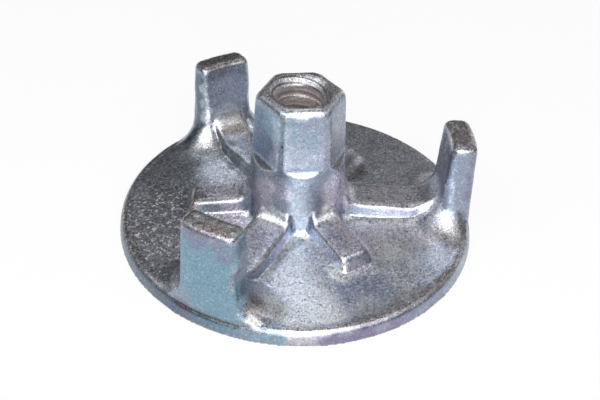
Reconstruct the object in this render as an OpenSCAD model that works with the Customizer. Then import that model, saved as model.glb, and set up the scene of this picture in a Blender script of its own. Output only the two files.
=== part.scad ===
// Formwork wing nut: a one-piece casting with a round bearing flange, a hexagon hub with a
// coarse tie-rod thread, three striking lugs and six stiffening ribs.
// The bore axis is Z, the underside of the flange is at Z = 0, and one lug stands on +X.

/* [Flange] */
// Diameter of the flange at its underside
flange_d = 130; // [115:1:160]
// Height of the flange's top face, carried out to the rim
flange_t = 5; // [4:0.5:8]
// Slope of the flange's top face, rising towards the hub
flange_slope = 2.5; // [1:0.5:5]
// Draft angle of the rim's side
rim_draft = 11; // [2:0.5:15]
// Radius of the rim's rounded top edge
rim_round = 1.8; // [0.8:0.1:2]

/* [Hub] */
// Overall height, underside of the flange to the top of the hub
hub_h = 56; // [46:1:75]
// Diameter of the round hub, measured at its top
hub_d = 30.6; // [30:0.2:38]
// Draft angle of the hub and of its flats
hub_draft = 3.2; // [1:0.2:4]
// Radius of the cove where the hub meets the flange
hub_cove = 4; // [2:0.5:5]
// Radius of the rounded edge around the hub's top, which shows at the hexagon's corners
hub_round = 3.6; // [1:0.1:4.2]

/* [Hexagon] */
// Width across the flats, measured at the top of the hub
hex_across = 27.4; // [26:0.1:29]
// Height of the flats, from the top of the hub to the ledges
hex_h = 23; // [15:1:28]
// Turn of the hexagon's corners from the line of the lugs
hex_turn = 4.4; // [-15:0.1:15]
// Radius of the rounded edge at the top of the flats
hex_round = 3; // [1:0.1:3.4]
// Fall of the crescent ledges below the flats, from the horizontal
ledge_slope = 50; // [20:5:65]

/* [Thread] */
// Diameter of the bore at the thread's crests
bore_d = 15.8; // [14:0.1:17]
// Pitch of the one-start, right-hand thread
thread_pitch = 6; // [5:0.5:12]
// Depth of the thread's groove
thread_depth = 0.9; // [0.6:0.1:1.2]
// Width of the groove at its root
thread_root_w = 1; // [0.8:0.1:2]
// Diameter of the countersinks at both ends of the bore
mouth_d = 21.4; // [17.4:0.1:22]

/* [Lugs] */
// Number of lugs around the flange
lug_count = 3; // [3:1:4]
// Height of the lugs above the underside of the flange
lug_h = 39; // [30:1:46]
// Width of a lug at its top
lug_w = 20.5; // [16:0.5:24]
// Thickness of a lug at its top
lug_t = 9; // [7:0.2:11]
// Draft angle of a lug's sides and inner face
lug_draft = 2.5; // [1:0.5:4]
// Lean of a lug's outer face towards the hub
lug_lean = 2; // [1:0.5:6]
// Radius of a lug's upright corners
lug_corner = 2.8; // [2.4:0.1:3.4]
// Radius of a lug's rounded top edges
lug_round = 2.2; // [0.8:0.1:2.3]
// Radius of the cove at the foot of a lug
lug_cove = 8; // [4:0.5:10]

/* [Ribs] */
// Height of the long ribs where they leave the hub, above the underside
long_rib_h = 12.4; // [11:0.2:16]
// Width of a long rib's top
long_rib_w = 13; // [9:0.5:15]
// Radius of the curve that carries a long rib's top up its lug
long_rib_sweep = 11; // [7:0.5:14]
// Height of the short ribs where they leave the hub, above the underside
short_rib_h = 13.2; // [11.6:0.2:16]
// Width of a short rib's top
short_rib_w = 10; // [7:0.5:12]
// Distance from the bore axis to the outer end of a short rib's top
short_rib_reach = 36.4; // [30:0.2:42]
// Fall of the short ribs' tops towards the rim
short_rib_fall = 4; // [1:0.5:6]
// Lean of a short rib's outer end from the upright
short_rib_lean = 25; // [10:1:40]
// Draft angle of the ribs' sides
rib_draft = 10; // [4:1:15]
// Radius of the ribs' rounded top edges
rib_round = 1.2; // [0.6:0.1:1.6]
// Radius of the coves at the feet of the ribs
rib_cove = 2.6; // [1.4:0.2:3]

/* [Hidden] */
$fn = 96;

hex_sides = 6;
flange_r = flange_d / 2;
hub_r = hub_d / 2;
bore_r = bore_d / 2;
mouth_r = mouth_d / 2;
lug_angle = 360 / lug_count;

// A cove is followed to this angle, and then dives into the flange so that no edge is feathered
cove_end = 84;
dive = 1.4;
// The rounded edges meet the hub's top face at this angle
round_end = 75;
// Segments of a loft's rounded edges and coves
arc_steps = 3;
// Clear distance by which cutting tools overshoot the solid
over = 1;
// Set-back of the lugs' outer faces behind the rim
lug_setback = 0.8;
// Radial depth of the thread's cutter inside the bore, and its steps a turn
thread_inside = 0.8;
thread_steps = 24;

// Radius of the hub's cone, the rim's side and a lug's faces, and the flange's top, by place
function hub_r_at(z) = hub_r + (hub_h - z) * tan(hub_draft);
function rim_r_at(z) = flange_r - z * tan(rim_draft);
function plate_z(r) = flange_t + (flange_r - r) * tan(flange_slope);

// Centre of the circle that touches two lines: k is a line's distance from the origin along its
// normal, and a is the normal's angle, from the r axis for the first and the z axis for the second
function touching_centre(k1, a1, k2, a2) =
    [k1 * cos(a2) - k2 * sin(a1), k2 * cos(a1) - k1 * sin(a2)] / cos(a1 + a2);

rim_k = flange_r * cos(rim_draft);
plate_k = flange_t * cos(flange_slope) + flange_r * sin(flange_slope);
hub_k = hub_r * cos(hub_draft) + hub_h * sin(hub_draft);
rim_normal = [cos(rim_draft), sin(rim_draft)];
plate_normal = [sin(flange_slope), cos(flange_slope)];
hub_normal = [cos(hub_draft), sin(hub_draft)];
rim_centre = touching_centre(rim_k - rim_round, rim_draft, plate_k - rim_round, flange_slope);
cove_centre = touching_centre(hub_k + hub_cove, hub_draft, plate_k + hub_cove, flange_slope);

lug_foot_z = rim_centre[1];
function lug_outer(z) = rim_r_at(lug_foot_z) - lug_setback - (z - lug_foot_z) * tan(lug_lean);
function lug_inner(z) = lug_outer(lug_h) - lug_t - (lug_h - z) * tan(lug_draft);
function lug_half(z) = lug_w / 2 + (lug_h - z) * tan(lug_draft);

// Points of a convex arc of radius r about c, from angle a0 through turn
function arc(c, r, a0, turn) =
    [for (i = [0 : arc_steps]) c + r * [cos(a0 + turn * i / arc_steps), sin(a0 + turn * i / arc_steps)]];

// A cove of radius f as [distance out from the wall, height above the floor], floor to wall
function cove(f) = [for (i = [0 : arc_steps])
    let (t = cove_end * (1 - i / arc_steps)) [f * (1 - cos(t)), f * (1 - sin(t))]];

// Solid through rings of equally many points, which run anticlockwise seen from the last ring
module loft(rings) {
    n = len(rings[0]);
    last = len(rings) - 1;
    sides = [for (k = [0 : last - 1], i = [0 : n - 1])
        let (a = k * n + i, b = k * n + (i + 1) % n)
        each [[a, a + n, b + n], [a, b + n, b]]];
    caps = [[for (i = [0 : n - 1]) i], [for (i = [n - 1 : -1 : 0]) last * n + i]];
    polyhedron([for (ring = rings) each ring], concat(sides, caps), convexity = 6);
}

// What a rounding of radius r takes from the corner of the hub's top and a drafted wall at k
module top_edge_cut(k, r) {
    centre = touching_centre(k - r, hub_draft, hub_h - r * sin(round_end), 0);
    edge = centre + r * [cos(round_end), sin(round_end)];
    reach = 2 * hub_r;
    difference() {
        polygon([
            centre + r * hub_normal,
            edge,
            edge + [0, over],
            [reach, hub_h + over],
            [reach, centre[1] + r * hub_normal[1]]
        ]);
        translate(centre) circle(r);
    }
}

// Flange and hub in one turned profile, with a rounded rim, a coved foot and a rounded top
module turned_profile() {
    difference() {
        union() {
            polygon([
                [0, 0],
                [flange_r, 0],
                rim_centre + rim_round * rim_normal,
                rim_centre + rim_round * plate_normal,
                cove_centre - hub_cove * plate_normal,
                cove_centre - hub_cove * hub_normal,
                [hub_r, hub_h],
                [0, hub_h]
            ]);
            translate(rim_centre) circle(rim_round);
        }
        translate(cove_centre) circle(hub_cove);
        top_edge_cut(hub_k, hub_round);
    }
}

// Cutter for one flat, with its rounded edge above and its sloping ledge below
module flat_cutter() {
    top_r = hex_across / 2;
    ledge_z = hub_h - hex_h;
    reach = 2 * hub_r;
    flat_k = top_r * cos(hub_draft) + hub_h * sin(hub_draft);
    rotate([90, 0, 0]) linear_extrude(2 * hub_r, center = true) union() {
        polygon([
            [top_r + hex_h * tan(hub_draft), ledge_z],
            [top_r - over * tan(hub_draft), hub_h + over],
            [reach, hub_h + over],
            [reach, ledge_z - (reach - top_r) * tan(ledge_slope)]
        ]);
        top_edge_cut(flat_k, hex_round);
    }
}

module flanged_hub() {
    difference() {
        rotate_extrude() turned_profile();
        for (k = [0 : hex_sides - 1]) rotate(hex_turn + (k + 0.5) * 360 / hex_sides) flat_cutter();
    }
}

// Outline of a lug between two radii, bent round the bore axis
function lug_outline(u0, u1, w, c0, c1) =
    let (edge = [for (i = [1 : arc_steps - 1]) 2 * i / arc_steps - 1])
    [for (p = concat(
            arc([u1 - c1, w - c1], c1, 0, 90),
            arc([u0 + c0, w - c0], c0, 90, 90),
            [for (s = edge) [u0, -s * (w - c0)]],
            arc([u0 + c0, c0 - w], c0, 180, 90),
            arc([u1 - c1, c1 - w], c1, 270, 90),
            [for (s = edge) [u1, s * (w - c1)]]))
        [sqrt(p[0] * p[0] - p[1] * p[1]), p[1]]];

// One ring of a lug at height z, grown outwards on its sides and inner face
function lug_ring(z, grow) =
    lug_outline(lug_inner(z) - grow, lug_outer(z) + min(grow, 0), lug_half(z) + grow,
        lug_corner + grow, lug_corner + min(grow, 0));

module lug() {
    foot = plate_z(lug_inner(flange_t));
    feet = [for (c = cove(lug_cove))
        [for (p = lug_ring(foot + c[1], c[0]))
            [p[0], p[1], foot + c[1] + (plate_z(norm(p)) - foot) * (1 - c[1] / lug_cove)]]];
    tops = [for (p = arc([0, lug_h - lug_round], lug_round, 0, 90))
        [for (q = lug_ring(p[1], p[0] - lug_round)) [q[0], q[1], p[1]]]];
    base_z = lug_foot_z - dive / 2;
    base_grow = lug_cove * (1 - cos(cove_end)) + dive / 2;
    base = [for (q = lug_ring(base_z, base_grow)) [q[0] - dive, q[1], base_z]];
    loft(concat([base], feet, tops));
}

// Cross-section of a rib at radius r, with its top at z and w its half width there
function rib_ring(r, z, w) =
    let (
        floor_z = min(plate_z(r), z - rib_round / 10),
        h = z - floor_z,
        round_r = min(rib_round, h / 3),
        cove_r = min(rib_cove, h / 2),
        foot_w = w + (h - round_r - cove_r) * tan(rib_draft),
        side = concat(
            [[foot_w + cove_r + dive, floor_z - dive]],
            [for (c = cove(cove_r)) [foot_w + c[0], floor_z + c[1]]],
            arc([w - round_r, z - round_r], round_r, 0, 90)))
    [for (s = [1, -1], i = [0 : len(side) - 1])
        let (p = side[s > 0 ? i : len(side) - 1 - i]) [r, s * p[0], p[1]]];

// Ribs start inside the hub's wall and rise into it by a cove
rib_start = (bore_r + thread_depth + hub_r) / 2;
function hub_rise(h) = [for (c = cove(hub_cove)) [hub_r_at(h) + c[1], h + c[0]]];

module long_rib() {
    half = long_rib_w / 2;
    wall = lug_inner(long_rib_h + long_rib_sweep);
    end_h = plate_z(wall) + long_rib_h - plate_z(hub_r_at(long_rib_h));
    rise = hub_rise(long_rib_h);
    sweep = [for (i = [0 : 2 * arc_steps])
        let (t = cove_end * i / (2 * arc_steps))
        [wall - long_rib_sweep * (1 - sin(t)), end_h + long_rib_sweep * (1 - cos(t))]];
    last = sweep[len(sweep) - 1];
    line = concat([[rib_start, rise[0][1]]], rise, sweep, [last + lug_t / 3 * [1, 1]]);
    loft([for (p = line) rib_ring(p[0], p[1], half - max(p[1] - end_h, 0) * tan(lug_draft))]);
}

module short_rib() {
    half = short_rib_w / 2;
    hub_side = hub_r_at(short_rib_h);
    end_z = short_rib_h - (short_rib_reach - hub_side) * tan(short_rib_fall);
    rise = hub_rise(short_rib_h);
    shoulder = arc([short_rib_reach, end_z - rib_round], rib_round, 90, short_rib_lean - 90);
    edge = shoulder[arc_steps];
    cove_z = plate_z(short_rib_reach) + rib_cove;
    wall_drop = edge[1] - cove_z + rib_cove * sin(short_rib_lean);
    cove_at = edge + [wall_drop * tan(short_rib_lean) + rib_cove * cos(short_rib_lean), cove_z - edge[1]];
    foot = arc([cove_at[0], cove_z], rib_cove, 180 + short_rib_lean, cove_end - short_rib_lean);
    tail = foot[arc_steps] + [dive, -dive];
    line = concat([[rib_start, rise[0][1]]], rise, shoulder, foot, [tail]);
    widen = tan(rib_draft);
    loft([for (p = line) rib_ring(p[0], p[1], half + max(end_z - p[1], 0) * widen)]);
}

// Cutter for the thread's groove, a trapezoid carried along a helix past both ends of the bore
module thread_cutter() {
    in_r = bore_r - thread_inside;
    root_r = bore_r + thread_depth;
    root_half = thread_root_w / 2;
    in_half = root_half + root_r - in_r;
    section = [[in_r, in_half], [root_r, root_half], [root_r, -root_half], [in_r, -in_half]];
    turns = ceil(hub_h / thread_pitch) + 2;
    loft([for (k = [0 : turns * thread_steps])
        let (a = 360 * k / thread_steps, z = thread_pitch * (k / thread_steps - 1))
        [for (p = section) [p[0] * cos(a), p[0] * sin(a), z + p[1]]]]);
}

module threaded_bore() {
    sink = mouth_r - bore_r;
    translate([0, 0, -over]) cylinder(h = hub_h + 2 * over, r = bore_r);
    translate([0, 0, -over]) cylinder(h = sink + over, r1 = mouth_r + over, r2 = bore_r);
    translate([0, 0, hub_h - sink]) cylinder(h = sink + over, r1 = bore_r, r2 = mouth_r + over);
    thread_cutter();
}

module wing_nut() {
    color("lightsteelblue") difference() {
        union() {
            flanged_hub();
            for (k = [0 : lug_count - 1]) {
                rotate(k * lug_angle) lug();
                rotate(k * lug_angle) long_rib();
                rotate((k + 0.5) * lug_angle) short_rib();
            }
        }
        threaded_bore();
    }
}

wing_nut();
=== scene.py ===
from math import pi, radians

import bmesh
import bpy
import numpy as np
from mathutils import Matrix, Vector, noise
from mathutils.bvhtree import BVHTree


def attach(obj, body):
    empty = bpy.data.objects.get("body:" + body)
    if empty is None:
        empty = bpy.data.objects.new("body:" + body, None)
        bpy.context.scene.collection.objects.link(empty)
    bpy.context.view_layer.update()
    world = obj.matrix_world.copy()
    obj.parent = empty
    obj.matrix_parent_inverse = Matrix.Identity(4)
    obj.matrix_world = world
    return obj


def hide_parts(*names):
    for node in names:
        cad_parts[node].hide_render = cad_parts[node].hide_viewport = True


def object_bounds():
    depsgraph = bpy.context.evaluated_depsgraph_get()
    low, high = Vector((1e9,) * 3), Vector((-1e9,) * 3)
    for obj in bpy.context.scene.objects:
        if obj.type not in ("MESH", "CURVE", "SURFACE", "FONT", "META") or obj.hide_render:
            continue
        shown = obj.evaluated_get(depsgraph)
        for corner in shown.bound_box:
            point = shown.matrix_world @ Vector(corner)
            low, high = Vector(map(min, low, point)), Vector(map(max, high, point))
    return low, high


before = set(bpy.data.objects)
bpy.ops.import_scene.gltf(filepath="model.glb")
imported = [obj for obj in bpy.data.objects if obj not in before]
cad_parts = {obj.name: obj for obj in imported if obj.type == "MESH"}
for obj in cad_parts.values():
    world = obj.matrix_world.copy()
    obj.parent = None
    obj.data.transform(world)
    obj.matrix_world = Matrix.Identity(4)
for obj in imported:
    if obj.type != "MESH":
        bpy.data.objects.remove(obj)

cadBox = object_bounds()
scene = bpy.context.scene
scene.view_settings.view_transform = "Standard"
mm = 0.001


class Wire:
    # a node socket that takes part in plain arithmetic
    def __init__(self, tree, socket=None):
        self.tree = tree
        self.socket = socket

    def feed(self, target, value):
        if isinstance(value, Wire):
            self.tree.links.new(value.socket, target)
        else:
            target.default_value = value

    # any node: its type, its settings, then the values or links of its sockets
    def node(self, kind, settings=None, sockets=None, output=0):
        made = self.tree.nodes.new(kind)
        for name, value in (settings or {}).items():
            setattr(made, name, value)
        for name, value in (sockets or {}).items():
            self.feed(made.inputs[name], value)
        return Wire(self.tree, made.outputs[output] if len(made.outputs) else None)

    def math(self, operation, first, second=0.0):
        return self.node("ShaderNodeMath", {"operation": operation}, {0: first, 1: second})

    def blend(self, share, first, second):
        return self.node("ShaderNodeMix", {"data_type": "RGBA"}, {0: share, 6: first, 7: second}, 2)

    def __add__(self, other):
        return self.math("ADD", self, other)

    def __radd__(self, other):
        return self.math("ADD", other, self)

    def __sub__(self, other):
        return self.math("SUBTRACT", self, other)

    def __rsub__(self, other):
        return self.math("SUBTRACT", other, self)

    def __mul__(self, other):
        return self.math("MULTIPLY", self, other)

    def __rmul__(self, other):
        return self.math("MULTIPLY", other, self)


# The casting's own mesh: the solid's surface with soft cast edges and a wavy skin
# a pair of values is where a soft edge begins and ends, or the two ends of a band
castingShape = {
    "merge": 0.002 * mm,      # points closer than this become one
    "voxel": 0.5 * mm,        # face size after remeshing
    "roundPasses": 4,         # smoothing passes that soften the edges
    "roundPull": 0.5,
    "triangles": 188000,      # kept after thinning
    "lugs": 3,
    # the ribs' walls step out first, and further at their feet, as softening draws them in again
    "ribs": {
        "step": 0.7 * mm,
        "lean": 0.5 * mm,
        "inner": (17 * mm, 20 * mm),          # distance from the axis
        "outer": (42 * mm, 46 * mm),
        "foot": (6.2 * mm, 7.2 * mm),         # height
        "top": (18 * mm, 22 * mm),
        "leanFrom": (19 * mm, 24 * mm),
        "leanUpTo": (5 * mm, 11.5 * mm),
    },
    # a ball rolls along the feet of the ribs and the hub, and a larger one along the feet of the lugs
    "coves": {
        "ball": 4.2 * mm,
        "lugBall": 15 * mm,
        "cell": 0.5 * mm,                     # grid on which they roll
        "gridHalf": 66 * mm,
        "gridAbove": 100 * mm,
        "lugAlong": (40 * mm, 52 * mm),       # where the larger ball counts
        "lugAside": (6 * mm, 11 * mm),
        "inner": (14 * mm, 15 * mm),
        "outer": (60 * mm, 62 * mm),
        "top": (24 * mm, 30 * mm),
        "overhang": -0.2,                     # faces that look further down than this stay
        "steep": (0.5, 0.9),                  # steep walls are measured a little way off
        "probe": 1.2,                         # in cells
        "deepest": 9 * mm,                    # points further below stay
    },
    # the ribs and lugs are softer than the hexagon, and the lugs' feet are evened out
    "soft": {
        "passes": 5,
        "pull": 0.8,
        "inner": (15 * mm, 18 * mm),
        "outer": (60.5 * mm, 62 * mm),
        "top": (20 * mm, 30 * mm),
        "hubRadius": 30 * mm,
        "lugShare": 0.5,                      # of the top's fading, outside the hub
    },
    "feet": {
        "passes": 60,
        "along": (42 * mm, 48 * mm),
        "aside": (7 * mm, 10 * mm),
        "outer": (61 * mm, 62.5 * mm),
        "top": (22 * mm, 28 * mm),
    },
    # low bead along the rim's top edge, which fades out towards the back
    "bead": {
        "radius": 61.9 * mm,
        "half": 1.3 * mm,
        "height": 0.55 * mm,
        "level": (0.3, 0.8),
        "heights": (3 * mm, 9 * mm),
        "fades": (0, 20 * mm),
        "rubbed": (-5 * mm, 25 * mm),         # the right side is rubbed
    },
    # groove between the rim's edge and a lug's outer face, also darkened with painted shade
    "groove": {
        "height": 4.6 * mm,
        "half": 0.55 * mm,
        "depth": 0.32 * mm,
        "lugHalf": 12.5 * mm,
        "fade": 2 * mm,
        "outside": 61 * mm,
    },
    # painted shade on the crescent ledges at the sides of the hexagon
    "ledge": {
        "share": 0.55,
        "level": (0.40, 0.60),
        "radius": (12 * mm, 17.5 * mm),
        "heights": (28 * mm, 36 * mm),
        "beside": 8 * mm,
    },
    # low swells of the plate: x, y, radius and height
    "swells": [
        (2 * mm, -34 * mm, 9 * mm, 0.35 * mm),
        (22 * mm, -40 * mm, 9 * mm, -0.30 * mm),
        (44 * mm, -26 * mm, 8 * mm, 0.30 * mm),
    ],
    "swellLevel": (0.5, 0.9),
    "swellUpTo": (9 * mm, 11 * mm),
    # slow waves of the cast skin, orange-peel of the mould's sand, rough lug tops
    "wave": {"length": 9 * mm, "height": 0.10 * mm, "offset": (3.1, 7.7, 1.3)},
    "skin": {"length": 2.2 * mm, "height": 0.035 * mm, "offset": (9.4, 2.6, 5.5)},
    "torn": {"length": 1.5 * mm, "height": 0.16 * mm, "offset": (1.9, 8.2, 4.4)},
    "tornAbove": (37.2 * mm, 38.7 * mm),
    "tornOutside": 42 * mm,
    # where the finish is worn, upright (its darker film partly painted shade) or dirty, where painted
    # shadow lines go in the bore's mouth, and where painted shade darkens the rim's left side
    "wear": {
        "bend": (0.02 * mm, 0.14 * mm),       # bulge of a raised edge
        "passes": 8,
        "torn": 0.8,
        "hexRadius": 18 * mm,                 # the hexagon's upright edges are spared
        "hexAbove": 34 * mm,
        "hexTop": (50 * mm, 53 * mm),
        "hexSpared": 0.8,
    },
    "upright": (0.45, 0.85),
    "uprightPasses": 3,
    "bore": {"radius": 11.5 * mm, "inward": (0.05, 0.35), "top": (51 * mm, 54 * mm)},
    "mouth": {"radius": 11.3 * mm, "inward": (0.1, 0.3), "above": 51 * mm},
    "rim": {"outer": (62 * mm, 63.5 * mm), "top": (4 * mm, 5.2 * mm), "dark": (10 * mm, 45 * mm)},
}


def finalMesh(source, name):
    graph = bpy.context.evaluated_depsgraph_get()
    mesh = bpy.data.meshes.new_from_object(source.evaluated_get(graph))
    mesh.name = name
    return mesh


def meshArrays(mesh):
    points = np.empty(len(mesh.vertices) * 3)
    normals = np.empty(len(mesh.vertices) * 3)
    mesh.vertices.foreach_get("co", points)
    mesh.vertices.foreach_get("normal", normals)
    edges = np.empty(len(mesh.edges) * 2, int)
    mesh.edges.foreach_get("vertices", edges)
    return points.reshape(-1, 3), normals.reshape(-1, 3), edges.reshape(-1, 2)


def relaxed(values, edges, passes, pull=0.5):
    # each value drawn towards the mean of its neighbours
    count = len(values)
    degree = np.bincount(edges.ravel(), minlength=count)
    for turn in range(passes):
        total = np.zeros_like(values)
        for axis in range(values.shape[1]):
            total[:, axis] += np.bincount(edges[:, 0], values[edges[:, 1], axis], count)
            total[:, axis] += np.bincount(edges[:, 1], values[edges[:, 0], axis], count)
        values = (1 - pull) * values + pull * total / degree[:, None]
    return values


def noiseField(points, grain):
    shift = Vector(grain["offset"])
    return np.array([noise.noise(Vector(p) / grain["length"] + shift) for p in points]) * grain["height"]


def smoothStep(values, edge):
    share = np.clip((values - edge[0]) / (edge[1] - edge[0]), 0, 1)
    return share * share * (3 - 2 * share)


def fadeOut(values, edge):
    return 1 - smoothStep(values, edge)


def within(values, limits):
    return (values > limits[0]) & (values < limits[1])


def axisDistance(points):
    return np.hypot(points[:, 0], points[:, 1])


def movePoints(mesh, points):
    mesh.vertices.foreach_set("co", points.ravel())
    mesh.update()


def shifted(grid, i, j, fill):
    # the grid moved by i rows and j columns
    rows, columns = grid.shape
    out = np.full(grid.shape, fill)
    out[max(0, -i):rows - max(0, i), max(0, -j):columns - max(0, j)] = \
        grid[max(0, i):rows + min(0, i), max(0, j):columns + min(0, j)]
    return out


def topHeights(mesh, half, above, cell):
    # heights of the top side on a grid
    bm = bmesh.new()
    bm.from_mesh(mesh)
    tree = BVHTree.FromBMesh(bm)
    bm.free()
    count = int(half / cell)
    line = np.arange(-count, count + 1) * cell
    heights = np.zeros((len(line), len(line)))
    for i, x in enumerate(line):
        for j, y in enumerate(line):
            hit = tree.ray_cast(Vector((x, y, above)), Vector((0, 0, -1)))[0]
            heights[i, j] = hit.z if hit else 0
    return heights, line


def closedHeights(heights, cell, ball, stride):
    # the heights with their hollows filled as far as a rolling ball leaves them
    reach = int(ball / cell)
    reach -= reach % stride
    steps = [(i, j, np.sqrt(ball ** 2 - (i * i + j * j) * cell ** 2))
             for i in range(-reach, reach + 1, stride) for j in range(-reach, reach + 1, stride)
             if (i * i + j * j) * cell ** 2 < ball ** 2]
    centres = np.full(heights.shape, -1.0)
    for i, j, rise in steps:
        centres = np.maximum(centres, shifted(heights, i, j, -1.0) + rise)
    closed = np.full(heights.shape, 1.0)
    for i, j, rise in steps:
        closed = np.minimum(closed, shifted(centres, i, j, 1.0) - rise)
    return np.maximum(closed, heights)


def sampled(grid, line, x, y):
    # the grid's value between its points
    u = np.clip((x - line[0]) / (line[1] - line[0]), 0, len(line) - 1.001)
    v = np.clip((y - line[0]) / (line[1] - line[0]), 0, len(line) - 1.001)
    i, j = u.astype(int), v.astype(int)
    a, b = u - i, v - j
    return ((grid[i, j] * (1 - a) + grid[i + 1, j] * a) * (1 - b)
            + (grid[i, j + 1] * (1 - a) + grid[i + 1, j + 1] * a) * b)


def lugAxes(x, y, lugs):
    # distances along and aside of the nearest lug's middle line
    along = np.full(x.shape, -1.0)
    aside = np.zeros(x.shape)
    for lug in range(lugs):
        turn = radians(360 * lug / lugs)
        way = x * np.cos(turn) + y * np.sin(turn)
        near = way > along
        along = np.where(near, way, along)
        aside = np.where(near, np.abs(y * np.cos(turn) - x * np.sin(turn)), aside)
    return along, aside


def stepRibs(mesh, ribs):
    points, normals = meshArrays(mesh)[:2]
    radius = axisDistance(points)
    height = points[:, 2]
    wall = smoothStep(radius, ribs["inner"]) * fadeOut(radius, ribs["outer"])
    wall *= smoothStep(height, ribs["foot"]) * fadeOut(height, ribs["top"])
    lean = smoothStep(radius, ribs["leanFrom"]) * fadeOut(height, ribs["leanUpTo"])
    step = wall * (ribs["step"] + ribs["lean"] * lean)
    points[:, :2] += normals[:, :2] * step[:, None]
    movePoints(mesh, points)


def rollCoves(mesh, coves, lugs):
    # the hollows of the top side are filled as far as the balls leave them
    cell = coves["cell"]
    heights, line = topHeights(mesh, coves["gridHalf"], coves["gridAbove"], cell)
    small = closedHeights(heights, cell, coves["ball"], 1)
    large = closedHeights(heights, cell, coves["lugBall"], 2)   # on every second point
    along, aside = lugAxes(*np.meshgrid(line, line, indexing="ij"), lugs)
    atLugs = smoothStep(along, coves["lugAlong"]) * smoothStep(aside, coves["lugAside"])
    closed = small + (np.maximum(large, small) - small) * atLugs

    # points below the filled surface are lifted onto it
    points, normals = meshArrays(mesh)[:2]
    radius = axisDistance(points)
    free = smoothStep(radius, coves["inner"]) * fadeOut(radius, coves["outer"])
    free *= (normals[:, 2] > coves["overhang"]) * fadeOut(points[:, 2], coves["top"])
    steep = fadeOut(normals[:, 2], coves["steep"])
    probe = points[:, :2] + normals[:, :2] * (coves["probe"] * cell * steep)[:, None]
    lift = np.clip(sampled(closed, line, probe[:, 0], probe[:, 1]) - points[:, 2], 0, None) * free
    lift = np.where(lift < coves["deepest"], lift, 0)
    points[:, 2] += lift
    movePoints(mesh, points)
    print("coves: up to %.2f mm filled" % (lift.max() / mm))


def smoothFeet(mesh, shape):
    soft = shape["soft"]
    feet = shape["feet"]
    points, _, edges = meshArrays(mesh)
    radius = axisDistance(points)
    share = smoothStep(radius, soft["inner"]) * fadeOut(radius, soft["outer"])
    fading = np.where(radius < soft["hubRadius"], 1.0, soft["lugShare"])
    share *= 1 - smoothStep(points[:, 2], soft["top"]) * fading
    points += (relaxed(points, edges, soft["passes"], soft["pull"]) - points) * share[:, None]
    along, aside = lugAxes(points[:, 0], points[:, 1], shape["lugs"])
    share = smoothStep(along, feet["along"]) * fadeOut(radius, feet["outer"])
    share *= smoothStep(aside, feet["aside"]) * fadeOut(points[:, 2], feet["top"])
    points += (relaxed(points, edges, feet["passes"], soft["pull"]) - points) * share[:, None]
    movePoints(mesh, points)


def softMesh(shape):
    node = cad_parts["wing_nut"]
    bm = bmesh.new()
    bm.from_mesh(node.data)
    bmesh.ops.remove_doubles(bm, verts=bm.verts, dist=shape["merge"])
    mesh = bpy.data.meshes.new("merged")
    bm.to_mesh(mesh)
    bm.free()
    work = bpy.data.objects.new("merged", mesh)
    scene.collection.objects.link(work)
    remesh = work.modifiers.new("grain", "REMESH")
    remesh.mode = "VOXEL"
    remesh.voxel_size = shape["voxel"]
    smooth = work.modifiers.new("smooth", "SMOOTH")
    smooth.factor = shape["roundPull"]
    smooth.iterations = shape["roundPasses"]
    dense = finalMesh(work, "dense")
    print("dense mesh:", len(dense.vertices), "points")
    stepRibs(dense, shape["ribs"])
    rollCoves(dense, shape["coves"], shape["lugs"])
    smoothFeet(dense, shape)
    work.modifiers.clear()
    work.data = dense
    thin = work.modifiers.new("thin", "DECIMATE")
    thin.ratio = min(1.0, shape["triangles"] / (2 * len(dense.polygons)))
    mesh = finalMesh(work, "wing_nut_casting")
    bpy.data.objects.remove(work)
    return mesh


def addAttribute(mesh, name, values):
    layer = mesh.attributes.new(name, "FLOAT", "POINT")
    layer.data.foreach_set("value", values.astype(np.float32))


def addBead(mesh, bead):
    points, normals = meshArrays(mesh)[:2]
    ring = np.exp(-((axisDistance(points) - bead["radius"]) / bead["half"]) ** 2)
    ring *= smoothStep(normals[:, 2], bead["level"])
    ring *= fadeOut(points[:, 1], bead["fades"])
    points[:, 2] += ring * within(points[:, 2], bead["heights"]) * bead["height"]
    movePoints(mesh, points)
    return ring


def wornEdges(points, normals, edges, wear):
    # how far a point stands out from its smoothed surroundings
    bend = ((relaxed(points, edges, wear["passes"]) - points) * normals).sum(1)
    bend = relaxed(bend[:, None], edges, 1)[:, 0]
    height = points[:, 2]
    hexagon = (axisDistance(points) < wear["hexRadius"]) * (height > wear["hexAbove"])
    hexagon = hexagon * fadeOut(height, wear["hexTop"])
    return smoothStep(-bend, wear["bend"]) * (1 - wear["hexSpared"] * hexagon)


def boreMask(height, radius, outward, bore):
    # the bore's wall faces the axis
    mask = smoothStep(-outward, bore["inward"]) * (radius < bore["radius"])
    return mask * fadeOut(height, bore["top"])


def mouthMask(height, radius, outward, mouth):
    return smoothStep(-outward, mouth["inward"]) * (radius < mouth["radius"]) * (height > mouth["above"])


def rimShadeMask(points, radius, rim):
    # painted shade on the rim's left side
    mask = smoothStep(radius, rim["outer"]) * fadeOut(points[:, 2], rim["top"])
    return mask * smoothStep(-points[:, 0], rim["dark"])


def grooveMask(points, radius, groove, lugs):
    aside = lugAxes(points[:, 0], points[:, 1], lugs)[1]
    mask = fadeOut(aside, (groove["lugHalf"] - groove["fade"], groove["lugHalf"]))
    mask *= np.exp(-((points[:, 2] - groove["height"]) / groove["half"]) ** 2)
    return mask * (radius > groove["outside"])


def ledgeShadeMask(points, normals, radius, ledge):
    # painted shade on the crescent ledges left and right of the hexagon
    mask = ledge["share"] * smoothStep(normals[:, 2], ledge["level"]) * within(radius, ledge["radius"])
    return mask * within(points[:, 2], ledge["heights"]) * (np.abs(points[:, 0]) > ledge["beside"])


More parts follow.
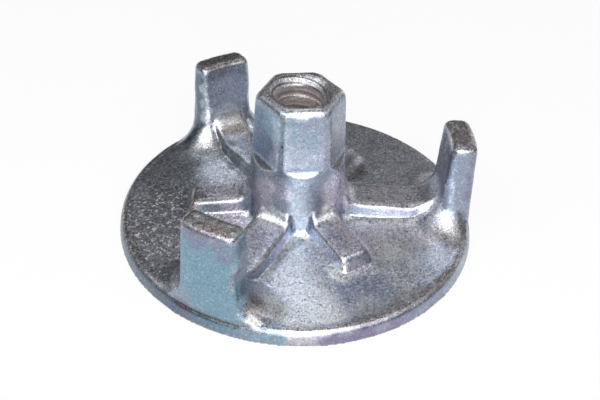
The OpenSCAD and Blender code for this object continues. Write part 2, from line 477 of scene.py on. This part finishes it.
def addSwells(points, normals, shape):
    level = smoothStep(normals[:, 2], shape["swellLevel"]) * fadeOut(points[:, 2], shape["swellUpTo"])
    for x, y, reach, height in shape["swells"]:
        away = ((points[:, 0] - x) ** 2 + (points[:, 1] - y) ** 2) / reach ** 2
        points[:, 2] += level * height * np.exp(-away)


def castSkin(points, normals, rough, shape):
    # slow waves and sand skin; the lug tops are torn and rough
    move = noiseField(points, shape["wave"]) + noiseField(points, shape["skin"])
    move += noiseField(points, shape["torn"]) * rough
    return points + normals * move[:, None]


def makeCasting(shape):
    mesh = softMesh(shape)
    ring = addBead(mesh, shape["bead"])
    points, normals, edges = meshArrays(mesh)
    radius = axisDistance(points)
    outward = (points[:, :2] * normals[:, :2]).sum(1) / np.maximum(radius, mm)

    # masks for the finish, as long as the surface is even
    wear = wornEdges(points, normals, edges, shape["wear"])
    upright = fadeOut(normals[:, 2], shape["upright"])
    upright = relaxed(upright[:, None], edges, shape["uprightPasses"])[:, 0]
    bore = boreMask(points[:, 2], radius, outward, shape["bore"])
    crease = grooveMask(points, radius, shape["groove"], shape["lugs"])
    ledge = ledgeShadeMask(points, normals, radius, shape["ledge"])

    # grooves under the lugs, low swells and the cast skin, all inside the solid's box
    ways = points[:, :2] / np.maximum(radius, mm)[:, None]   # away from the axis
    points[:, :2] -= ways * (crease * shape["groove"]["depth"])[:, None]
    addSwells(points, normals, shape)
    rough = smoothStep(points[:, 2], shape["tornAbove"]) * (radius > shape["tornOutside"])
    low, high = (np.array(corner) for corner in cadBox)
    points = np.clip(castSkin(points, normals, rough, shape), low, high)
    movePoints(mesh, points)

    mesh.materials.clear()
    addAttribute(mesh, "wear", np.maximum(wear, shape["wear"]["torn"] * rough))
    addAttribute(mesh, "upright", upright)
    addAttribute(mesh, "bore", bore)
    addAttribute(mesh, "mouth", mouthMask(points[:, 2], radius, outward, shape["mouth"]))
    # painted shade in the groove under each lug and on the side ledges
    addAttribute(mesh, "crease", np.maximum(crease, ledge))
    addAttribute(mesh, "bead", ring * smoothStep(points[:, 0], shape["bead"]["rubbed"]))
    # painted shade on the rim's left side
    addAttribute(mesh, "rim", rimShadeMask(points, radius, shape["rim"]))
    for face in mesh.polygons:
        face.use_smooth = True
    piece = bpy.data.objects.new("wing_nut_casting", mesh)
    scene.collection.objects.link(piece)
    triangles = sum(len(face.vertices) - 2 for face in mesh.polygons)
    print("casting:", len(mesh.polygons), "faces,", triangles, "triangles")
    return piece


def patchRow(film, first, last, count, radius, share):
    # equal patches from one place to another
    steps = [number / (count - 1) for number in range(count)]
    return [(film, tuple(a + (b - a) * step for a, b in zip(first, last)), radius, share) for step in steps]


# Zinc plating over cast iron, with the coloured film of its passivation, and patches of painted highlights,
# painted light and painted shade
zincPlate = {
    "silver": (0.66, 0.685, 0.75, 1),
    "film": (0.32, 0.37, 0.46, 1),      # on the faces that stand upright: partly the film's own blue tone, partly painted shade
    "filmsAndPaintedLight": {
        # teal and sky are film tones, violet is a film tone also laid on as painted shade, bare is worn
        # metal and painted highlight, the near-white one is painted highlight, the light pale, lilac and
        # mauve ones are painted light, and the dark navy, slate, grey, deep and dusk ones are painted shade
        "teal": (0.23, 0.37, 0.46, 1),
        "violetAndShade": (0.27, 0.245, 0.37, 1),
        "paintedShadeNavy": (0.16, 0.215, 0.315, 1),
        "paintedShadeSlate": (0.345, 0.365, 0.405, 1),
        "paintedLightPale": (0.70, 0.74, 0.86, 1),
        "paintedLightLilac": (0.80, 0.74, 0.86, 1),
        "bareAndHighlight": (0.74, 0.68, 0.65, 1),
        "paintedHighlight": (0.90, 0.93, 0.97, 1),
        "scratch": (0.95, 0.86, 0.84, 1),
        "paintedShadeGrey": (0.24, 0.27, 0.315, 1),
        "paintedLightMauve": (0.43, 0.435, 0.51, 1),
        "paintedShadeDeep": (0.09, 0.13, 0.17, 1),
        "sky": (0.42, 0.47, 0.62, 1),
        "paintedShadeDusk": (0.25, 0.235, 0.245, 1),
    },
    # colour, centre and radius in mm, share; later ones lie over earlier ones; many are painted highlights,
    # painted light and painted shade
    "patches": [
        # plate: painted shade on the left and behind the hub, painted light at the back, a bluer film and
        # painted highlights along the front
        ("paintedShadeSlate", (-48, -18, 6), 34, 0.8),
        ("paintedShadeSlate", (-46, 24, 6), 24, 0.8),
        ("paintedLightPale", (36, 24, 6), 24, 0.3),
        ("sky", (19, -46, 5), 15, 0.9),
        ("paintedHighlight", (-29, 20, 6), 12, 0.45),
        ("paintedHighlight", (4, -57, 5), 14, 1.0),
        ("paintedHighlight", (24, -54, 5), 8, 0.5),
        ("paintedLightPale", (-31, 21, 6), 7, 0.6),
        ("paintedShadeDusk", (21, 21, 8), 8, 0.8),
        # tops of the ribs, lightened with painted light
        ("paintedLightLilac", (-28, 3, 13), 8, 0.8),
        ("paintedLightLilac", (19, -22, 11), 10, 1.0),
        ("paintedLightLilac", (36, 2, 11), 12, 0.6),
        ("paintedLightLilac", (-24, -6.5, 9), 6, 0.9),
        # hub: painted light on its sides, painted shade on its front, painted highlights where the front
        # ribs join it
        ("paintedLightLilac", (14, -12, 20), 11, 1.0),
        ("paintedLightMauve", (-13, -12, 19), 8, 1.0),
        ("paintedShadeGrey", (0, -17, 21), 10, 1.0),
        ("paintedHighlight", (-9, -17, 14), 4, 0.9),
        ("paintedHighlight", (10, -16, 14.5), 4, 0.9),
        ("paintedShadeDusk", (18, 5, 12), 5, 0.7),
        ("paintedLightLilac", (-12, -13, 22), 7, 0.5),
        ("paintedLightLilac", (-7, -16, 26), 5, 0.6),
        # hexagon: painted shade on the left flat and the top's back, a painted highlight on the front
        # bevel, painted light on the right and along the front-left edge, a worn top, teal film
        ("paintedShadeNavy", (-15, -6, 42), 12, 1.0),
        ("paintedHighlight", (0, -13.5, 55.5), 4, 0.8),
        ("paintedLightMauve", (12, -9, 41), 10, 0.9),
        ("bareAndHighlight", (0, 0, 57), 13, 0.6),
        ("paintedShadeDusk", (0, 11, 56), 6, 0.5),
        ("teal", (-5, -15, 50), 7, 0.35),
        ("teal", (5, -15, 44), 5, 0.3),
        ("paintedLightMauve", (0, -15, 39), 5, 0.4),
        ("teal", (-10, -11, 48), 6, 0.6),
        *patchRow("paintedLightPale", (-8, -14, 49), (-8, -14, 37), 3, 5, 0.3),
        # right lug: painted light inside, a worn top, painted shade along its outer front edge
        ("paintedLightPale", (50, 2, 24), 12, 0.9),
        ("bareAndHighlight", (56, 0, 41), 7, 0.7),
        *patchRow("violetAndShade", (62, -11, 34), (62, -11, 20), 3, 4, 0.8),
        # back lug: painted shade on its top, left face and left foot, painted light on its front, painted
        # highlights on its foot, its front's lower part and its left edge, teal film
        ("paintedShadeSlate", (-28, 50, 40), 9, 0.9),
        ("paintedLightPale", (-25, 44, 26), 11, 0.7),
        ("paintedHighlight", (-35, 38, 9), 6, 0.8),
        ("paintedShadeDusk", (-30, 49, 40), 9, 0.8),
        ("teal", (-39, 45, 28), 8, 0.7),
        ("bareAndHighlight", (-24, 43, 15), 7, 0.9),
        *patchRow("paintedShadeDeep", (-38, 43, 32), (-38, 43, 16), 3, 5.5, 0.9),
        *patchRow("paintedHighlight", (-34, 41, 30), (-34, 41, 24), 2, 4, 0.4),
        ("paintedShadeDeep", (-41, 39, 10), 5, 0.9),
        # right rib's wall and the plate before it: painted highlights along the foot and on the plate,
        # painted shade on the wall, painted light on the plate
        *patchRow("paintedHighlight", (24, -12, 6), (42, -12, 6), 4, 4, 1.0),
        *patchRow("violetAndShade", (34, -6.8, 9.5), (39, -6.8, 9.5), 2, 2.6, 0.4),
        ("paintedLightLilac", (30, -19, 6), 9, 0.8),
        ("paintedLightLilac", (42, -19, 6), 8, 0.8),
        ("paintedHighlight", (51, -27, 5.5), 8, 0.7),
        ("paintedHighlight", (53, -20, 6.5), 6, 0.5),
        # rim's front: violet film, laid on as painted shade
        ("violetAndShade", (2, -67, -1), 8.5, 0.6),
        ("violetAndShade", (11, -66, -1), 8.5, 1.0),
        ("violetAndShade", (20, -64, -1), 8.5, 1.0),
        ("violetAndShade", (36, -57, -1), 9, 0.6),
        ("violetAndShade", (48, -47, -1), 9, 0.5),
        ("violetAndShade", (27, -62, -1), 11, 0.7),
        # front lug and the rim below it: teal and violet film, the violet partly painted shade, painted
        # light on its face, a painted highlight, a worn top
        ("teal", (-31, -57, 24), 20, 1.0),
        ("paintedLightPale", (-19, -50, 26), 9, 0.8),
        ("bareAndHighlight", (-27, -51, 43), 9, 0.8),
        ("violetAndShade", (-35, -52, 36), 6, 0.6),
        ("violetAndShade", (-25, -57, 33), 5, 0.5),
        ("violetAndShade", (-21, -58, 24), 3, 0.6),
        ("paintedHighlight", (-22, -52, 39), 4, 0.9),
        ("paintedShadeDusk", (-33, -53, 39), 5, 0.6),
        ("violetAndShade", (-30, -57, 37), 5, 0.6),
        ("teal", (-12, -65, 1), 10, 0.6),
        ("teal", (-28, -61, 1), 10, 0.6),
        ("violetAndShade", (-41, -53, 3), 6, 0.7),
        # plate and rib walls in front of the hub: painted highlights on the plate, painted light on the
        # walls
        ("paintedHighlight", (0, -46, 5), 13, 0.8),
        ("paintedHighlight", (14, -37, 6.5), 5, 0.9),
        ("paintedHighlight", (0, -30, 6.5), 10, 0.8),
        ("paintedLightLilac", (19, -35, 8), 4, 0.7),
        *patchRow("paintedLightMauve", (-11, -27, 9), (11, -27, 9), 2, 8, 0.7),
        # foot of the front lug: painted highlights on the plate and the rim's edge, painted shade over the
        # foot, teal film
        ("bareAndHighlight", (-2, -63, 5), 5, 0.5),
        ("paintedShadeDusk", (-15, -57, 8), 6, 0.9),
        ("teal", (-28, -58, 10), 11, 0.9),
        ("paintedHighlight", (-9, -53, 6), 6, 0.6),
        ("paintedShadeDusk", (-15, -61, 7), 4, 0.6),
        # feet of the right and the back lug, and of the ribs that lead to them: painted highlights and
        # painted shade
        ("paintedHighlight", (49, -7, 12), 6, 0.8),
        ("paintedHighlight", (36, -20, 6), 12, 0.6),
        ("paintedShadeDeep", (-37, 40.5, 10), 3.5, 0.6),
        ("paintedHighlight", (-32, 41, 17), 5, 0.9),
        ("paintedShadeDeep", (-30, 38, 10.5), 4, 0.6),
        ("paintedHighlight", (-26, 44, 17), 6, 0.9),
        ("paintedShadeDusk", (-20, 44, 16), 4, 0.6),
        ("paintedShadeDeep", (-27, 32, 9.5), 5, 0.6),
        ("paintedShadeDeep", (-23, 25, 9.5), 5, 0.6),
    ],
    "patchEdge": (0.55, 1.1),           # shares of the radius between which a patch fades
    "warp": 7 * mm,                     # how far the films' edges wander
    "warpScale": 110,
    # share of painted shade on the rim's left side
    "rimShadeShare": 0.7,
    # clouds of film over everything: noise scale, noise levels, share
    "violetClouds": (260, (0.52, 0.72), 0.30),
    "tealClouds": (230, (0.54, 0.74), 0.30),
    "tealShift": 3.7,                   # keeps them apart from the violet ones
    # fine grain, with bright and dark crystals
    "grain": {"scale": 1700, "levels": (0.28, 0.72), "tones": (0.40, 1.60), "upright": 0.62},
    "crystals": {"scale": 1600, "bright": (0.86, 0.96), "gain": 0.8, "dark": (0.14, 0.05), "loss": 0.35},
    # scribbled scratches: centre and radius in mm, share, widths, breaks and sparkle
    "scribble": {
        "centre": (-46, -12, 6),
        "radius": 32,
        "edge": (0.5, 1.0),
        "share": 0.8,
        "scale": 210,
        "width": (0.014, 0.03),
        "breakScale": 600,
        "breaks": (0.50, 0.58),
        "sparkle": (0.93, 0.97),
        "sparkleShare": 0.8,
    },
    # raised edges, rubbed bare in places, with soot between the grains; the same dark colour is also
    # painted shade in the grooves, on the side ledges and along the thread
    "worn": (0.70, 0.63, 0.60, 1),
    "sootAndShade": (0.13, 0.11, 0.10, 1),
    "specks": {"scale": 1900, "levels": (0.40, 0.60)},
    "edges": {
        "scale": 420,
        "levels": (0.36, 0.60),
        "shares": (0.25, 1.0),
        "rubbed": (0.25, 0.75),
        "share": 0.85,
    },
    "beadEdge": {"scale": 300, "levels": (0.36, 0.56), "shares": (0.2, 0.9)},
    # share of painted shade in the grooves and on the side ledges
    "creaseShadeShare": 0.8,
    # grit: centre and radius in mm, share
    "grit": [
        ((54, -17, 7), 9, 0.5),
        ((-33, 39, 8), 8, 0.4),
        ((-17, -54, 7), 8, 0.3),
        ((-24, 43, 15), 7, 0.5),
        ((-15, -12, 32), 4, 0.7),
        ((15, -10, 32), 4, 0.7),
    ],
    "gritEdge": (0.4, 1.1),
    # small pits: centre and radius in mm, stain
    "pits": [
        ((-6.6, -15.0, 42.8), 0.9, (0.16, 0.12, 0.10, 1)),
        ((2.0, -14.9, 43.4), 0.7, (0.10, 0.12, 0.14, 1)),
    ],
    "pitEdge": (0.4, 1.0),
    "pitShare": 0.85,
    # bore: painted shadow and painted highlight lines along the thread are given by their place in a turn
    # and half their width
    "bore": {
        "dark": (0.29, 0.235, 0.23, 1),
        "light": (0.67, 0.585, 0.57, 1),
        "pitch": 6 * mm,
        "share": 0.9,
        "shadowLine": (0.80, 0.07),
        "highlightLine": (0.37, 0.07),
        "mouthShadowLines": [(0.70, 0.06), (0.965, 0.05)],
        "lineShare": 0.85,
    },
    "roughness": {"scale": 900, "levels": (0.3, 0.7), "values": (0.22, 0.38), "bore": 0.15},
    "matt": {"bore": 0.5, "scratches": 0.5},   # dirt and scratches scatter the light
    "bump": {"strength": 0.55, "depth": 0.2 * mm},
}


def noiseAt(place, scale, detail=2.0, rough=0.5, output=0):
    return place.node("ShaderNodeTexNoise", None,
                      {"Vector": place, "Scale": scale, "Detail": detail, "Roughness": rough}, output)


def span(value, edge, first, second):
    # soft step from the first result to the second
    return value.node("ShaderNodeMapRange", {"interpolation_type": "SMOOTHSTEP"},
                      {0: value, 1: edge[0], 2: edge[1], 3: first, 4: second})


def attribute(wire, name):
    return wire.node("ShaderNodeAttribute", {"attribute_name": name}, None, "Fac")


def spot(place, centre, radius, edge, share, shift=0.0):
    # round mask that fades out towards its edge
    middle = tuple(c * mm + shift for c in centre)
    away = place.node("ShaderNodeVectorMath", {"operation": "DISTANCE"}, {0: place, 1: middle}, "Value")
    return span(away, (radius * edge[0] * mm, radius * edge[1] * mm), share, 0.0)


def filmAndPaintedLightColour(wire, place, warped, upright, look):
    # upright faces first, their darker film partly painted shade, then the patches of film, painted
    # highlights, painted light and painted shade, then painted shade on the rim's left side, and the clouds
    filmsAndPaintedLight = look["filmsAndPaintedLight"]
    colour = wire.blend(upright, look["silver"], look["film"])
    for film, centre, radius, share in look["patches"]:
        patch = spot(warped, centre, radius, look["patchEdge"], share, look["warp"] / 2)
        colour = wire.blend(patch, colour, filmsAndPaintedLight[film])
    colour = wire.blend(attribute(wire, "rim") * look["rimShadeShare"], colour, filmsAndPaintedLight["paintedShadeDeep"])
    scale, levels, share = look["violetClouds"]
    clouds = noiseAt(place, scale, detail=3, rough=0.6)
    colour = wire.blend(span(clouds, levels, 0.0, share), colour, filmsAndPaintedLight["violetAndShade"])
    scale, levels, share = look["tealClouds"]
    clouds = wire.node("ShaderNodeTexNoise", {"noise_dimensions": "4D"},
                       {"Vector": place, "W": look["tealShift"], "Scale": scale, "Detail": 3})
    return wire.blend(span(clouds, levels, 0.0, share), colour, filmsAndPaintedLight["teal"])


def grainTone(grain, glint, upright, look):
    # fine grain with bright and dark crystals, weaker on the upright faces
    fine = look["grain"]
    crystals = look["crystals"]
    tone = span(grain, fine["levels"], *fine["tones"])
    tone = tone + span(glint, crystals["bright"], 0.0, crystals["gain"])
    tone = tone - span(glint, crystals["dark"], 0.0, crystals["loss"])
    return 1.0 + (tone - 1.0) * (1.0 - fine["upright"] * upright)


def scratchLines(wire, place, warped, glint, look):
    # fine scribbled scratches on the dull side of the plate
    scribble = look["scribble"]
    bend = wire.math("ABSOLUTE", noiseAt(place, scribble["scale"], detail=3, rough=0.55) - 0.5)
    breaks = span(noiseAt(place, scribble["breakScale"], rough=0.7), scribble["breaks"], 0.0, 1.0)
    lines = span(bend, scribble["width"], 1.0, 0.0) * breaks
    sparkle = span(glint, scribble["sparkle"], 0.0, scribble["sparkleShare"])
    where = spot(warped, scribble["centre"], scribble["radius"], scribble["edge"],
                 scribble["share"], look["warp"] / 2)
    return wire.math("MAXIMUM", lines, sparkle) * where


def wearAndCreaseShadeColour(wire, place, warped, speck, colour, look):
    # raised edges are rubbed bare, with soot left between the grains
    worn = wire.blend(speck, look["sootAndShade"], look["worn"])
    edges = look["edges"]
    rubbed = span(noiseAt(place, edges["scale"], detail=4, rough=0.7), edges["levels"], *edges["shares"])
    rubbed = span(attribute(wire, "wear") * rubbed, edges["rubbed"], 0.0, edges["share"])
    colour = wire.blend(rubbed, colour, worn)
    bead = look["beadEdge"]
    rubbed = span(noiseAt(place, bead["scale"], detail=3, rough=0.6), bead["levels"], *bead["shares"])
    colour = wire.blend(attribute(wire, "bead") * rubbed, colour, worn)

    # gritty places where sand burnt on, painted shade in the grooves under the lugs and on the side ledges,
    # small pits
    for centre, radius, share in look["grit"]:
        grit = spot(warped, centre, radius, look["gritEdge"], share, look["warp"] / 2)
        colour = wire.blend(grit, colour, worn)
    colour = wire.blend(attribute(wire, "crease") * look["creaseShadeShare"], colour, look["sootAndShade"])
    for centre, radius, stain in look["pits"]:
        pit = spot(place, centre, radius, look["pitEdge"], look["pitShare"])
        colour = wire.blend(pit, colour, stain)
    return colour


def boreDirtAndPaintedLightColour(wire, place, speck, bore, colour, look):
    # the bore is dull and dirty, with a painted shadow line and a painted highlight line along each turn of
    # the thread, and painted shadow lines in its mouth
    thread = look["bore"]
    x, y, z = (wire.node("ShaderNodeSeparateXYZ", None, {"Vector": place}, name) for name in "XYZ")
    turn = wire.math("ARCTAN2", y, x) * (0.5 / pi)
    phase = wire.math("FRACT", z * (1 / thread["pitch"]) - turn)

    def threadLine(centre, half):
        return span(wire.math("ABSOLUTE", phase - centre), (half * 0.5, half), 1.0, 0.0)

    dirtAndPaintedLight = wire.blend(speck, thread["dark"], thread["light"])
    # a painted shadow line in the dark colour and a painted highlight line in the worn colour along each
    # turn
    dirtAndPaintedLight = wire.blend(threadLine(*thread["shadowLine"]) * thread["lineShare"], dirtAndPaintedLight, look["sootAndShade"])
    dirtAndPaintedLight = wire.blend(threadLine(*thread["highlightLine"]), dirtAndPaintedLight, look["worn"])
    colour = wire.blend(bore * thread["share"], colour, dirtAndPaintedLight)
    # painted shadow lines in the bore's mouth
    first, second = (threadLine(*line) for line in thread["mouthShadowLines"])
    lines = wire.math("MAXIMUM", first, second) * attribute(wire, "mouth")
    return wire.blend(lines * thread["lineShare"], colour, look["sootAndShade"])


def zincFinish(look):
    material = bpy.data.materials.new("zinc_plate")
    material.use_nodes = True
    tree = material.node_tree
    tree.nodes.clear()
    wire = Wire(tree)
    place = wire.node("ShaderNodeTexCoord", output="Object")

    # places whose edges wander, by half the warp on average, so centres on them shift by half
    wander = noiseAt(place, look["warpScale"], detail=3, rough=0.6, output="Color")
    warped = wire.node("ShaderNodeVectorMath", {"operation": "MULTIPLY_ADD"},
                       {0: wander, 1: (look["warp"],) * 3, 2: place})
    upright = attribute(wire, "upright")
    bore = attribute(wire, "bore")
    grain = noiseAt(place, look["grain"]["scale"], detail=3, rough=0.75)
    cells = wire.node("ShaderNodeTexVoronoi", None,
                      {"Vector": place, "Scale": look["crystals"]["scale"]}, "Color")
    glint = wire.node("ShaderNodeSeparateColor", None, {"Color": cells}, "Red")
    specks = look["specks"]
    speck = span(noiseAt(place, specks["scale"], rough=0.7), specks["levels"], 0.0, 1.0)

    # layers of colour
    colour = filmAndPaintedLightColour(wire, place, warped, upright, look)
    tone = grainTone(grain, glint, upright, look)
    colour = wire.node("ShaderNodeVectorMath", {"operation": "SCALE"}, {0: colour, "Scale": tone})
    scratches = scratchLines(wire, place, warped, glint, look) * (1.0 - upright)
    colour = wire.blend(scratches, colour, look["filmsAndPaintedLight"]["scratch"])
    colour = wearAndCreaseShadeColour(wire, place, warped, speck, colour, look)
    colour = boreDirtAndPaintedLightColour(wire, place, speck, bore, colour, look)

    # metal, gloss and relief
    matt = look["matt"]
    metal = 1.0 - matt["bore"] * bore - matt["scratches"] * scratches
    dull = look["roughness"]
    rough = span(noiseAt(place, dull["scale"]), dull["levels"], *dull["values"]) + dull["bore"] * bore
    bump = wire.node("ShaderNodeBump", None, {
        "Strength": look["bump"]["strength"], "Distance": look["bump"]["depth"], "Height": grain})
    shader = wire.node("ShaderNodeBsdfPrincipled", None, {
        "Base Color": colour, "Metallic": metal, "Roughness": rough, "Normal": bump})
    wire.node("ShaderNodeOutputMaterial", None, {"Surface": shader})
    print("zinc finish:", len(tree.nodes), "nodes")
    return material


# Floor that reads as white to the camera and in the metal, and keeps the shadow
studio = {
    "floorSize": 6.0,
    "floorColour": (0.9, 0.9, 0.9, 1),
    "whiteShare": 0.88,       # how much of the seen floor is plain white
    "worldColour": (0.12, 0.12, 0.125, 1),
}


def makeFloor(look):
    bm = bmesh.new()
    bmesh.ops.create_grid(bm, x_segments=1, y_segments=1, size=look["floorSize"] / 2)
    mesh = bpy.data.meshes.new("floor")
    bm.to_mesh(mesh)
    bm.free()
    floor = bpy.data.objects.new("floor", mesh)
    scene.collection.objects.link(floor)
    material = bpy.data.materials.new("floor_white")
    material.use_nodes = True
    tree = material.node_tree
    tree.nodes.clear()
    wire = Wire(tree)
    seenBy, mirroredBy, passedBy = (
        wire.node("ShaderNodeLightPath", output=name)
        for name in ("Is Camera Ray", "Is Glossy Ray", "Is Transmission Ray"))
    seen = wire.math("MINIMUM", seenBy + mirroredBy + passedBy, 1.0)
    matt = wire.node("ShaderNodeBsdfDiffuse", None, {"Color": look["floorColour"]})
    white = wire.node("ShaderNodeEmission", None, {"Color": (1, 1, 1, 1), "Strength": 1.0})
    both = wire.node("ShaderNodeMixShader", None, {0: seen * look["whiteShare"], 1: matt, 2: white})
    wire.node("ShaderNodeOutputMaterial", None, {"Surface": both})
    mesh.materials.append(material)


def makeWorld(look):
    world = bpy.data.worlds.new("studio")
    scene.world = world
    world.use_nodes = True
    world.node_tree.nodes["Background"].inputs["Color"].default_value = look["worldColour"]


# Soft boxes, a metre from the part: bearing from the camera's side, height angle, side and brightness
softBoxes = {
    "key": {"bearing": 0, "height": 45, "side": 0.55, "bright": 5.95},
    "front_low": {"bearing": 0, "height": 18, "side": 0.60, "bright": 2.95},
    "left_front": {"bearing": -45, "height": 45, "side": 0.55, "bright": 2.35},
    "right_front": {"bearing": 45, "height": 45, "side": 0.55, "bright": 1.75},
    "overhead_back": {"bearing": 180, "height": 66, "side": 0.45, "bright": 1.2},
    "left": {"bearing": -90, "height": 48, "side": 0.60, "bright": 0.95},
    "right": {"bearing": 90, "height": 48, "side": 0.60, "bright": 0.46},
    "right_low": {"bearing": 135, "height": 20, "side": 0.60, "bright": 0.5},
}


def makeSoftBox(name, box):
    lamp = bpy.data.lights.new(name, "AREA")
    lamp.shape = "SQUARE"
    lamp.size = box["side"]
    lamp.energy = box["bright"] * pi * lamp.size ** 2
    thing = bpy.data.objects.new(name, lamp)
    place = (Matrix.Rotation(radians(box["bearing"]), 3, "Z")
             @ Matrix.Rotation(radians(-box["height"]), 3, "X") @ Vector((0, -1, 0)))
    thing.matrix_world = Matrix.Translation(place) @ place.to_track_quat("Z", "Y").to_matrix().to_4x4()
    thing.visible_camera = False
    scene.collection.objects.link(thing)


# The photograph's view
camera = {
    "azimuth": -3.918,
    "elevation": 38.282,
    "roll": 2.73,
    "offset": (1.65 * mm, 6.89 * mm, 348.55 * mm),   # right, up and back from the part's origin
    "lens": 55.70,
    "sensor": 36.0,
    "nearest": 10 * mm,
}


def makeCamera(look):
    lens = bpy.data.cameras.new("camera")
    lens.lens = look["lens"]
    lens.sensor_width = look["sensor"]
    lens.clip_start = look["nearest"]
    thing = bpy.data.objects.new("camera", lens)
    turn = (Matrix.Rotation(radians(look["azimuth"]), 4, "Z")
            @ Matrix.Rotation(radians(90 - look["elevation"]), 4, "X")
            @ Matrix.Rotation(radians(look["roll"]), 4, "Z"))
    thing.matrix_world = turn @ Matrix.Translation(look["offset"])
    scene.collection.objects.link(thing)
    scene.camera = thing


makeCamera(camera)
makeFloor(studio)
makeWorld(studio)
for name, box in softBoxes.items():
    makeSoftBox(name, box)
print("studio: floor, world,", len(softBoxes), "soft boxes and camera")

casting = makeCasting(castingShape)
casting.data.materials.append(zincFinish(zincPlate))
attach(casting, "root")
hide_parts("wing_nut")
